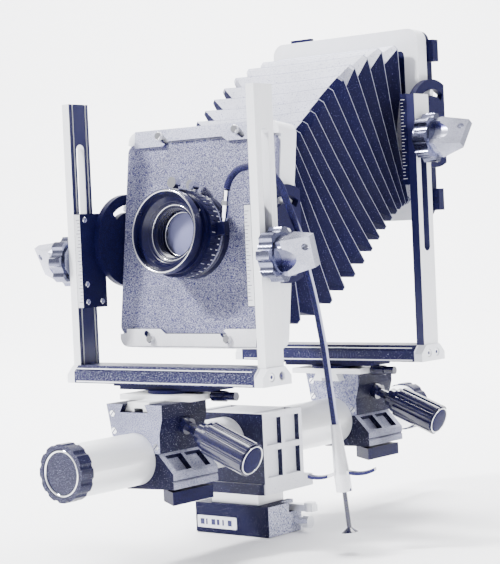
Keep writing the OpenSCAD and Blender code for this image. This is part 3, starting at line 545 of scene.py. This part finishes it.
# %% the cable's route, in mm
ROUTE = [
    (42.5, -60, 252), (43.5, -59.5, 256), (45.5, -59, 259.5), (48.5, -58, 263), (52.5, -57, 265.5),
    (58, -56, 266.5), (64, -55.5, 266), (70.5, -55, 264), (76.5, -54.5, 261), (81.5, -54, 257),
    (85.5, -53, 250), (88.5, -53, 242), (92.5, -52, 231), (96.5, -51, 220), (99, -50, 207),
    (101, -49, 194), (103.5, -48, 181), (105.7, -47, 168), (107.5, -46, 154), (109.2, -45, 140),
    (110.6, -44, 123), (112, -43, 106), (113.4, -42, 88)
]


def smooth_line(points, steps=4):
    """A curve through every point, with steps between them."""
    line = []
    for i in range(len(points) - 1):
        a, b, c, d = (Vector(points[min(max(k, 0), len(points) - 1)]) for k in (i - 1, i, i + 1, i + 2))
        for s in range(steps):
            t = s / steps
            line.append(0.5 * (2 * b + (c - a) * t + (2 * a - 5 * b + 4 * c - d) * t**2
                               + (3 * b - a - 3 * c + d) * t**3))
    return line + [Vector(points[-1])]


SHEEN_FROM, SHEEN_OVER = 42, 60


def swept_tube(name, line, radius, sides=16):
    points, faces = [], []
    aside = Vector((0, 1, 0.2))
    for i, p in enumerate(line):
        ahead = (line[min(i + 1, len(line) - 1)] - line[max(i - 1, 0)]).normalized()
        u = ahead.cross(aside).normalized()
        v = ahead.cross(u)
        for k in range(sides):
            a = 2 * math.pi * k / sides
            points.append((p + radius * (math.cos(a) * u + math.sin(a) * v)) * MM)
    for i in range(len(line) - 1):
        for k in range(sides):
            m = (k + 1) % sides
            faces.append((i * sides + k, i * sides + m, (i + 1) * sides + m, (i + 1) * sides + k))
    faces.append(tuple(range(sides))[::-1])
    faces.append(tuple((len(line) - 1) * sides + k for k in range(sides)))
    piece = tidy_normals(mesh_piece(name, points, faces, True))
    sheen_layer = piece.data.attributes.new("wear_and_sheen", "FLOAT", "POINT")
    run = 0.0
    wear_and_sheen = []
    for i, p in enumerate(line):
        run += (p - line[max(i - 1, 0)]).length
        share = min(1.0, max(0.0, (run - SHEEN_FROM) / SHEEN_OVER))
        wear_and_sheen += [share * (0.5 + 0.5 * math.cos(4 * math.pi * k / sides)) for k in range(sides)]
    sheen_layer.data.foreach_set("value", wear_and_sheen)
    return piece


cable_line = smooth_line(ROUTE)
braid = duller(finish(
    "braided cable", (0.003, 0.003, 0.032), 0.6, speck=(0.02, 0.02, 0.11), cover=0.4, bump=0.4
), 0.2)


# Painted highlight: a pale streak along two sides of the hanging part.
def painted_cable_highlight(material):
    tree = material.node_tree
    side = tree.nodes.new("ShaderNodeAttribute")
    side.attribute_name = "wear_and_sheen"
    repaint(material, ramp(tree, side, "Fac", 0.62, 0.85).outputs["Color"], (0.42, 0.43, 0.58))


painted_cable_highlight(braid)
cable = dress(swept_tube("cable_braid", cable_line, 2.45), braid, None)
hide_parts("cable")
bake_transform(cable)

# %% [markdown]
# ## The bellows
#
# The bellows is a folded skin of thin leathercloth on a curve between the two frames. It sags in
# the middle, because it is long and soft. A simple way is one tube with displaced rings. But its
# two ends move apart in many ways, so the skin is made as twelve short lengths that meet at a
# valley or a ridge. There is one length for each joint of the chain of bodies from the lens frame
# to the film frame, and each is fixed where it is made.

# %% the bellows' curve and rings, in mm
TILT = math.radians(7.4)
DOWN_TILT = Vector((0, math.cos(TILT), -math.sin(TILT)))
FRAME_DEPTH, GAP, PULL = 13, 0.3, 68
FRAME_FRONT = 10.7
LENS_MIDDLE, FILM_MIDDLE = Vector((0, -37, 219)), Vector((0, 159, 300))
SKIN_START = LENS_MIDDLE + DOWN_TILT * (FRAME_DEPTH + GAP)
SKIN_END = Vector((0, FILM_MIDDLE.y - FRAME_FRONT - GAP, FILM_MIDDLE.z))
SKIN_CURVE = (
    SKIN_START, SKIN_START + PULL * DOWN_TILT, SKIN_END - PULL * Vector((0, 1, 0)), SKIN_END
)
SIZE_FRONT, SIZE_BACK = (108, 130), (120, 124)
FOLD = 7.5


def along_skin(t):
    a, b, c, d = SKIN_CURVE
    return (1 - t)**3 * a + 3 * t * (1 - t)**2 * b + 3 * t * t * (1 - t) * c + t**3 * d


def skin_ring(t, inset, corner):
    """Sixteen points of a rectangle with cut corners, square to the curve, with slightly bowed sides."""
    ahead = (along_skin(min(1, t + 0.001)) - along_skin(max(0, t - 0.001))).normalized()
    up = Vector((0, -ahead.z, ahead.y))
    w, h = ((a + (b - a) * t) / 2 - inset for a, b in zip(SIZE_FRONT, SIZE_BACK))
    bow = 1.2 * math.sin(math.pi * t)
    outline = [
        (w - corner, -h), (w, -h + corner), (w - bow, -h / 3), (w - bow, h / 3), (w, h - corner),
        (w - corner, h), (w / 3, h - bow), (-w / 3, h - bow), (-w + corner, h), (-w, h - corner),
        (-w + bow, h / 3), (-w + bow, -h / 3), (-w, -h + corner), (-w + corner, -h),
        (-w / 3, -h + bow), (w / 3, -h + bow)
    ]
    return [along_skin(t) + Vector((x, 0, 0)) + z * up for x, z in outline]


print("bellows runs", round((SKIN_END - SKIN_START).length), "mm between the frames")

# %% the bellows' finish
# Painted light: faces that look up and forward are pale, as lit from above; the other faces keep the
# cloth's dark colour.
UP_AND_FRONT = (0, -0.5, 0.87)
TOP_LIMITS = (0.30, 0.46)
leather = duller(finish(
    "pleated leathercloth", (0.003, 0.003, 0.034), 0.6, speck=(0.12, 0.12, 0.32), speck_scale=1300,
    cover=0.01, bump=0.3, face=UP_AND_FRONT, face_colour=(0.74, 0.75, 0.84), face_cover=0.18,
    face_limits=TOP_LIMITS, patches=0.25
), MATT)


def creases(material):
    """Painted highlights along the ridges of the dark sides, dark lines along the ridges of the pale top,
    and painted shade in the valleys.
    """
    tree = material.node_tree
    edge = tree.nodes.new("ShaderNodeAttribute")
    edge.attribute_name = "ridge"
    on_ridge = ramp(tree, edge, "Fac", 0.965, 0.998)
    above = facing(tree, UP_AND_FRONT, *TOP_LIMITS)
    line = mix_colours(tree, above.outputs["Color"], (0.55, 0.57, 0.72), (0.10, 0.10, 0.26))
    repaint(material, on_ridge.outputs["Color"], line)
    # Painted shade in the valleys of the pleats.
    deep = ramp(tree, edge, "Fac", 0.02, 0.10, (1, 1, 1, 1), (0, 0, 0, 1))
    repaint(material, deep.outputs["Color"], (0.02, 0.02, 0.12))


creases(leather)

# %% [markdown]
# Each pleat is a V: valley, ridge, valley. The chain counts half pleats. Tilt and rise move the
# skin most, so their lengths get the most pleats. Extra rings close to the ridge carry how near a
# point is to it, so that the finish can lay painted highlights and dark lines along the ridges and
# painted shade in the valleys. The skin is a single sheet with no thickness of its own.

# %% the bellows' lengths, one for each joint
CHAIN = [
    ("lens_frame", "front_slider", 5), ("front_slider", "front_standard", 4),
    ("front_standard", "front_turntable", 2), ("front_turntable", "front_slide", 2),
    ("front_slide", "front_carriage", 1), ("front_carriage", "rail", 2), ("rail", "rear_carriage", 2),
    ("rear_carriage", "rear_slide", 1), ("rear_slide", "rear_turntable", 2),
    ("rear_turntable", "rear_standard", 2), ("rear_standard", "rear_slider", 4),
    ("rear_slider", "film_frame", 5)
]
PLEATS = sum(count for _, _, count in CHAIN) // 2
STEPS = ((0.0, 0.0), (0.42, 0.86), (0.5, 1.0), (0.58, 0.86))
RIDGE_CORNER, VALLEY_MORE = 3, 4


def pleat_rings(first, count):
    rings, ridges = [], []
    half = len(STEPS) // 2
    for i in range(first * half, (first + count) * half + 1):
        pleat, step = divmod(i, len(STEPS))
        place, height = STEPS[step]
        t = (pleat + place) / PLEATS
        drop = 1 - height
        rings.append(skin_ring(min(t, 1.0), FOLD * drop, RIDGE_CORNER + VALLEY_MORE * drop))
        ridges.append(height)
    return rings, ridges


def skin_length(name, first, count):
    rings, ridges = pleat_rings(first, count)
    n = len(rings[0])
    points = [p * MM for ring in rings for p in ring]
    faces = [
        (i * n + k, i * n + (k + 1) % n, (i + 1) * n + (k + 1) % n, (i + 1) * n + k)
        for i in range(len(rings) - 1) for k in range(n)
    ]
    piece = mesh_piece(name, points, faces)
    ridge = piece.data.attributes.new("ridge", "FLOAT", "POINT")
    ridge.data.foreach_set("value", [h for h in ridges for _ in range(n)])
    return piece, rings


def bend_between(piece):
    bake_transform(piece)


done = 0
for number, (a, b, count) in enumerate(CHAIN, 1):
    skin, rings = skin_length(f"bellows_length_{number:02d}", done, count)
    dress(skin, leather, None)
    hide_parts("bellows")
    bend_between(skin)
    done += count
print("bellows:", len(CHAIN), "lengths,", PLEATS, "pleats")

# %% [markdown]
# The skin's two ends are narrower than the frames' windows, so each is closed by a thin flange
# inside its window.

# %% end flanges
WINDOW = 57.9
LENS_TURN = Matrix.Rotation(-TILT, 3, "X")


def flange(name, middle, turn, inner, near, far, body):
    corners = [(-1, -1), (1, -1), (1, 1), (-1, 1)]
    outline = [(x * WINDOW, z * WINDOW) for x, z in corners]
    outline += [(x * inner[0], z * inner[1]) for x, z in corners]
    points = [(middle + turn @ Vector((x, y, z))) * MM for y in (near, far) for x, z in outline]
    faces = []
    for k in range(4):
        m = (k + 1) % 4
        faces += [(k, m, 4 + m, 4 + k), (8 + k, 8 + m, 12 + m, 12 + k), (k, m, 8 + m, 8 + k),
                  (4 + k, 4 + m, 12 + m, 12 + k)]
    dress(tidy_normals(mesh_piece(name, points, faces)), crinkle, body)


flange("lens_flange", LENS_MIDDLE, LENS_TURN, (45, 52), 11.9, 12.8, "lens_frame")
flange("film_flange", FILM_MIDDLE, Matrix.Identity(3), (50, 52), -10.6, -9.7, "film_frame")
print("flanges made")

# %% [markdown]
# ## Screws
#
# Machined fixings say that the camera is held together by something. Socket screws sit in the end
# blocks of both base bars, slotted screws in the slider plates and the carriages, and round pins
# in the latches. A head is a turned profile. A hex socket or a slot is painted shade: a dark
# piece that stands a hair proud of the head's face, where the hole would be.

# %% screw shapes, in mm
HEX = 6


def head(radius, height, soften=0.35, sides=24):
    return turned(
        [(radius - 0.01, 0), (radius, 0.05), (radius, height - soften), (radius - soften, height)], sides
    )


# The dark socket and slot pieces are painted shade in place of the holes.
def socket(radius, height):
    return turned([(radius, height - 0.3), (radius, height + 0.04)], HEX)


def slot_mark(length, width, height):
    return block((-length / 2, -width / 2, height - 0.3), (length / 2, width / 2, height + 0.04))


def socket_screws(name, places, radius, height, body):
    dress(many(name + "_heads", head(radius, height), places, False), polish, body)
    dress(many(name + "_sockets", socket(radius * 0.5, height), places), mark, body)


def slotted_screws(name, places, radius, height, body):
    dress(many(name + "_heads", head(radius, height), places, False), polish, body)
    slots = many(name + "_slots", slot_mark(radius * 1.7, radius * 0.3, height), places)
    dress(slots, mark, body)


# %% screws on the standards
STANDARD_Y = {"front": -85, "rear": 111}
KNOB_Z = {"front": 205.5, "rear": 286.5}
BAR_Z, END_X = 117, 91
PLATE_INSIDE, PLATE_TICKS, PLATE_MIDDLE = 76.7, 77.2, 79.65
for end, y in STANDARD_Y.items():
    places = [
        ((s * (END_X - 2.6), y + 10 + d, BAR_Z + 6.25), (s, 0, 0))
        for s in (-1, 1) for d in (-5.5, 5.5)
    ]
    socket_screws(f"{end}_end_block_screws", places, 2.9, 2.0, f"{end}_standard")
    z = KNOB_Z[end]
    places = [
        ((s * PLATE_INSIDE, y + dy, z + dz), (-s, 0, 0))
        for s in (-1, 1) for dy, dz in ((5, 30), (5, -30), (20, -30), (5, -17))
    ]
    slotted_screws(f"{end}_plate_screws", places, 2.2, 0.5, f"{end}_slider")
print("screws on", list(STANDARD_Y))

# %% screws on the carriages
CARRIAGE_Y = {"front": -120, "rear": 113}
for end, y in CARRIAGE_Y.items():
    places = [((dx, y + 0.01, z), (0, -1, 0)) for dx, z in ((-20, 100), (19, 78), (-19, 88))]
    slotted_screws(f"{end}_carriage_screws", places, 2.4, 0.6, f"{end}_carriage")
print("carriage screws added")

# %% [markdown]
# The lens board is held by two bars with diagonal slots, and each slot rides on a round pin.
# Three slotted screws hold the shutter's cover. These heads are placed in the lens's own tilted
# frame, so a helper moves them there.

# %% places in the tilted lens frame
BOARD_Y = -8.3


def on_lens(x, ahead, z):
    """A point across, in front of the board's face, and up, in the camera's frame."""
    return LENS_MIDDLE + LENS_TURN @ Vector((x, BOARD_Y - ahead, z))


AHEAD = LENS_TURN @ Vector((0, -1, 0))
PIN_X, PIN_Z = 36, 74.5
COVER_SCREWS = 31.5 * 0.86
pins = [(on_lens(x, 5.7, z), AHEAD) for x in (-PIN_X, PIN_X) for z in (-PIN_Z, PIN_Z)]
dress(many("latch_pin_heads", head(2.9, 0.7), pins), polish, "lens_frame")
places = [
    (on_lens(COVER_SCREWS * math.cos(a), 23.9, COVER_SCREWS * math.sin(a)), AHEAD)
    for a in (0.6, 2.7, 4.4)
]
slotted_screws("shutter_cover_screws", places, 1.0, 0.35, "lens_frame")
print("screws on the lens side")

# %% [markdown]
# ## Scales and index marks
#
# A view camera's movements are read from engraved scales. Each tick here is a sliver of filler
# that stands a tenth of a millimetre proud: a dark shift scale between two pale lines on each
# base bar, a rise scale on each slider plate's edge, and rings of pale ticks round the shutter.
# The front plates' edges are pale under their ticks, and the rear plates' ticks are pale on dark.

# %% scales
PROUD, LINE_PROUD = 0.1, 0.06
TICK_STEP, TICK_HALF = 2.5, 0.2
LINE_HALF = 82


def bar_ticks(y):
    low_y = y + 10 - 16 - PROUD
    ticks = []
    for i in range(-12, 13):
        tall = 4.5 if i % 5 == 0 else 2.5
        at = i * TICK_STEP
        ticks.append((
            (at - TICK_HALF, low_y, BAR_Z + 6 - tall), (at + TICK_HALF, low_y + 0.3, BAR_Z + 6)
        ))
    return ticks


def plate_ticks(y, z):
    ticks = []
    for s in (-1, 1):
        for i in range(-12, 13):
            wide = 3.6 if i % 4 == 0 else 2.2
            low = min(s * PLATE_TICKS, s * (PLATE_TICKS + wide))
            at = z + i * TICK_STEP
            ticks.append(((low, y - PROUD, at - TICK_HALF), (low + wide, y + 0.2, at + TICK_HALF)))
    return ticks


def bar_lines(y):
    low_y = y + 10 - 16 - LINE_PROUD
    return [
        ((-LINE_HALF, low_y, BAR_Z + z), (LINE_HALF, low_y + 0.3, BAR_Z + z + tall))
        for z, tall in ((0.7, 1.0), (10.2, 0.7))
    ]


for end, y in STANDARD_Y.items():
    dress(blocks(f"{end}_bar_lines", bar_lines(y)), pale_mark, f"{end}_standard")
    dress(blocks(f"{end}_shift_scale", bar_ticks(y)), mark, f"{end}_standard")
    rise = mark if end == "front" else pale_mark
    dress(blocks(f"{end}_rise_scale", plate_ticks(y, KNOB_Z[end])), rise, f"{end}_slider")
    if end == "rear":
        continue
    edge = blocks(f"{end}_plate_edges", [
        ((s * PLATE_MIDDLE - 2.75, y - LINE_PROUD, KNOB_Z[end] - 34),
         (s * PLATE_MIDDLE + 2.75, y + 0.2, KNOB_Z[end] + 34))
        for s in (-1, 1)
    ])
    dress(edge, satin, f"{end}_slider")
print("scales on bars and plates")

# %% ring marks on the shutter
def ring_ticks(name, radius, ahead, width, count, body):
    """Pale ticks round the lens's axis, each a small block that stands out of the ring."""
    points, faces = [], []
    for i in range(count):
        a = math.radians(360 * i / count)
        tall = width if i % 4 == 0 else width * 0.55
        corners, sides = block((radius - 0.3, -0.35, ahead), (radius + PROUD, 0.35, ahead + tall))
        start = len(points)
        for x, u, v in corners:
            across = x * math.cos(a) - u * math.sin(a)
            up = x * math.sin(a) + u * math.cos(a)
            points.append(on_lens(across, v, up) * MM)
        faces += [tuple(start + k for k in side) for side in sides]
    return dress(tidy_normals(mesh_piece(name, points, faces)), pale_mark, body)


RING_RADIUS = 30.98
ring_ticks("stop_scale", RING_RADIUS, 10.2, 3.6, 48, "lens_frame")
ring_ticks("speed_marks", RING_RADIUS, 16.0, 3.4, 32, "speed_ring")
print("ring marks made")

# %% [markdown]
# ## The lens
#
# A bright filter ring frames a deep dark barrel. Inside, stepped baffles catch thin crescents of
# light round the glass. The baffles are one turned piece with a saw-tooth profile, and the trim
# ring is a thin polished lip.

# %% lens trim and baffles
def turned_ring(profile, sides):
    """A turned profile whose last point is joined to its first, with a hole through the middle."""
    points, faces = turned(profile, sides)
    last = (len(profile) - 1) * sides
    around = [(last + k, last + (k + 1) % sides, (k + 1) % sides, k) for k in range(sides)]
    return points, faces[:-2] + around


def lathe_on_lens(name, profile, sides=64, smooth=True):
    points, faces = turned_ring(profile, sides)
    placed = [on_lens(x, h, z) * MM for x, z, h in points]
    return tidy_normals(mesh_piece(name, placed, faces, smooth))


rim = [(28.3, 35.7), (28.6, 36.15), (29.4, 36.15), (30.05, 35.6), (29.6, 35.2)]
dress(lathe_on_lens("filter_ring_trim", rim), polish, "lens_frame")
BARREL = ((25.2, 30.6), (19.2, 24.4), (17.8, 23.0), (17.6, 16.0))
baffles = []
for (r0, h0), (r1, h1) in zip(BARREL, BARREL[1:]):
    for i in range(4):
        r, h = r0 + (r1 - r0) * i / 4, h0 + (h1 - h0) * i / 4
        baffles += [(r, h), (r - 0.5, h - 0.2)]
outside = [(r + 0.3, h) for r, h in BARREL[::-1]]
stepped = lathe_on_lens("lens_baffles", baffles + outside, smooth=False)
dress(stepped, lens_paint, "lens_frame")
steps = {"barrel_step": (24.6, 29.9), "inner_step": (19.4, 24.9), "glass_retainer": (15.2, 15.4)}
for name, (r, h) in steps.items():
    lip = [(r, h), (r, h + 0.5), (r + 0.5, h + 0.7), (r + 0.9, h + 0.4), (r + 0.9, h)]
    dress(lathe_on_lens(name, lip), polish, "lens_frame")
iris = [(0.01, 7.6), (6.0, 7.7), (17.6, 8.2), (17.6, 8.7), (6.2, 8.2), (0.02, 8.1)]
blades = lathe_on_lens("shutter_blades", iris, sides=10, smooth=False)
dress(blades, lens_paint, "lens_frame")
print("lens trim made")

# %% [markdown]
# ## Trim on the knobs and the rail's caps
#
# Each focus grip ends in a dark domed disc inside a thin bright lip, and each rail cap has a
# bright ring round its dish. Both are turned profiles, placed along the shaft and along the rail.

# %% trim rings and grip ends
ROUND = 48


def lathe_along(name, shape, place, direction):
    points, faces = shape
    turn = frame_along(direction)
    placed = [(turn @ Vector(p) + Vector(place)) * MM for p in points]
    return tidy_normals(mesh_piece(name, placed, faces, True))


SLOPE = math.radians(21)
SHAFT = Vector((math.cos(SLOPE), 0, -math.sin(SLOPE)))
GRIP_END = 20 + 10 + 36 + 1.2
for end, y in CARRIAGE_Y.items():
    tip = Vector((21, y + 23.5, 93)) + GRIP_END * SHAFT
    dome = [(0.02, 0.55), (4, 0.5), (7.5, 0.3), (9.2, 0.0), (9.2, -0.5), (0.02, -0.5)][::-1]
    knob = f"{end}_focus_knob"
    grip_end = lathe_along(f"{end}_grip_end", turned(dome, ROUND), tip, SHAFT)
    dress(grip_end, crinkle, knob)
    lip = [(9.4, -0.6), (9.4, 0.1), (9.8, 0.3), (10.3, 0.1), (10.4, -0.6)]
    grip_lip = lathe_along(f"{end}_grip_lip", turned_ring(lip, ROUND), tip, SHAFT)
    dress(grip_lip, polish, knob)
for name, y, way in (("front", -193, (0, -1, 0)), ("rear", 223, (0, 1, 0))):
    lip = [(14.0, -1.25), (14.2, -0.5), (15.0, -0.2), (15.8, -0.5), (15.95, -1.25)]
    cap_ring = lathe_along(f"rail_{name}_cap_ring", turned_ring(lip, ROUND), (0, y, 69), way)
    dress(cap_ring, polish, "rail")
print("knobs and caps trimmed")

# %% [markdown]
# ## The label plate
#
# The shoe's front carries a small framed plate. It has no words here: a pale field, a raised
# frame and a row of plain dark bars of different lengths.

# %% label plate
def shoe_label():
    x0, x1, z0, z1, y = -32.5, 5, 3.5, 12.5, -20
    frame_bars = [
        ((x0, y - 0.4, z0), (x1, y + 0.2, z0 + 0.8)), ((x0, y - 0.4, z1 - 0.8), (x1, y + 0.2, z1)),
        ((x0, y - 0.4, z0), (x0 + 0.8, y + 0.2, z1)), ((x1 - 0.8, y - 0.4, z0), (x1, y + 0.2, z1))
    ]
    bars = [
        ((x0 + 3 + i * 5.2, y - 0.35, z0 + 2.4), (x0 + 3 + i * 5.2 + w, y + 0.2, z1 - 2.4))
        for i, w in enumerate((3.6, 1.4, 3.6, 2.4, 1.4, 3.6))
    ]
    field = blocks("label_field", [((x0 + 0.6, y - 0.2, z0 + 0.6), (x1 - 0.6, y + 0.2, z1 - 0.6))])
    dress(field, pale_mark, "tripod_shoe")
    dress(blocks("label_frame", frame_bars), pale_mark, "tripod_shoe")
    dress(blocks("label_bars", bars), mark, "tripod_shoe")


shoe_label()
print("label plate made")

# %% [markdown]
# ## Light and floor
#
# A pale sweep with no visible edge stands behind the camera. One small strong light comes from
# the upper left, a weaker one from the right and another from above, and a wide one washes the
# sweep. The world is pale so that metal has something to mirror.

# %% floor
def sweep():
    """A floor that curves up into a wall, far behind the object, turned to face the camera."""
    half, near, far, tall, bend = 4.0, -3.0, 2.2, 4.0, 0.8
    profile = [(near, 0), (far, 0)]
    for degrees in range(15, 91, 15):
        a = math.radians(degrees)
        profile.append((far + bend * math.sin(a), bend - bend * math.cos(a)))
    profile.append((far + bend, tall))
    turn = Matrix.Rotation(YAW, 3, "Z")
    points = [turn @ Vector((x, y, z - 0.0005)) for y, z in profile for x in (-half, half)]
    faces = [(2 * i, 2 * i + 1, 2 * i + 3, 2 * i + 2) for i in range(len(profile) - 1)]
    return mesh_piece("studio_sweep", points, faces, True)


paper = bpy.data.materials.new("paper sweep")
paper.use_nodes = True
paper_shader = paper.node_tree.nodes["Principled BSDF"]
paper_shader.inputs["Base Color"].default_value = (0.96, 0.96, 0.97, 1)
paper_shader.inputs["Roughness"].default_value = 0.9
floor = sweep()
floor.data.materials.append(paper)
print("floor set")

# %% lights
def soft_light(name, place, target, size, power):
    data = bpy.data.lights.new(name, "AREA")
    data.shape = "DISK"
    data.size = size
    data.energy = power
    lamp = bpy.data.objects.new(name, data)
    way = Vector(target) - Vector(place)
    lamp.matrix_world = Matrix.Translation(place) @ way.to_track_quat("-Z", "Y").to_matrix().to_4x4()
    bpy.context.scene.collection.objects.link(lamp)


MIDDLE = (0, 0.02, 0.19)
soft_light("key", (-1.05, -1.35, 1.55), MIDDLE, 0.30, 110)
soft_light("side", (1.8, 0.1, 0.9), MIDDLE, 0.8, 18)
soft_light("top", (-0.1, 0.3, 1.9), MIDDLE, 0.9, 45)
soft_light("sweep wash", (-0.9, 1.3, 2.6), (-1.3, 2.4, 0.3), 2.5, 330)
world = bpy.data.worlds.new("studio")
bpy.context.scene.world = world
world.use_nodes = True
world.node_tree.nodes["Background"].inputs["Color"].default_value = (0.95, 0.95, 1.0, 1)
world.node_tree.nodes["Background"].inputs["Strength"].default_value = 0.75
print("four lights and a pale world")
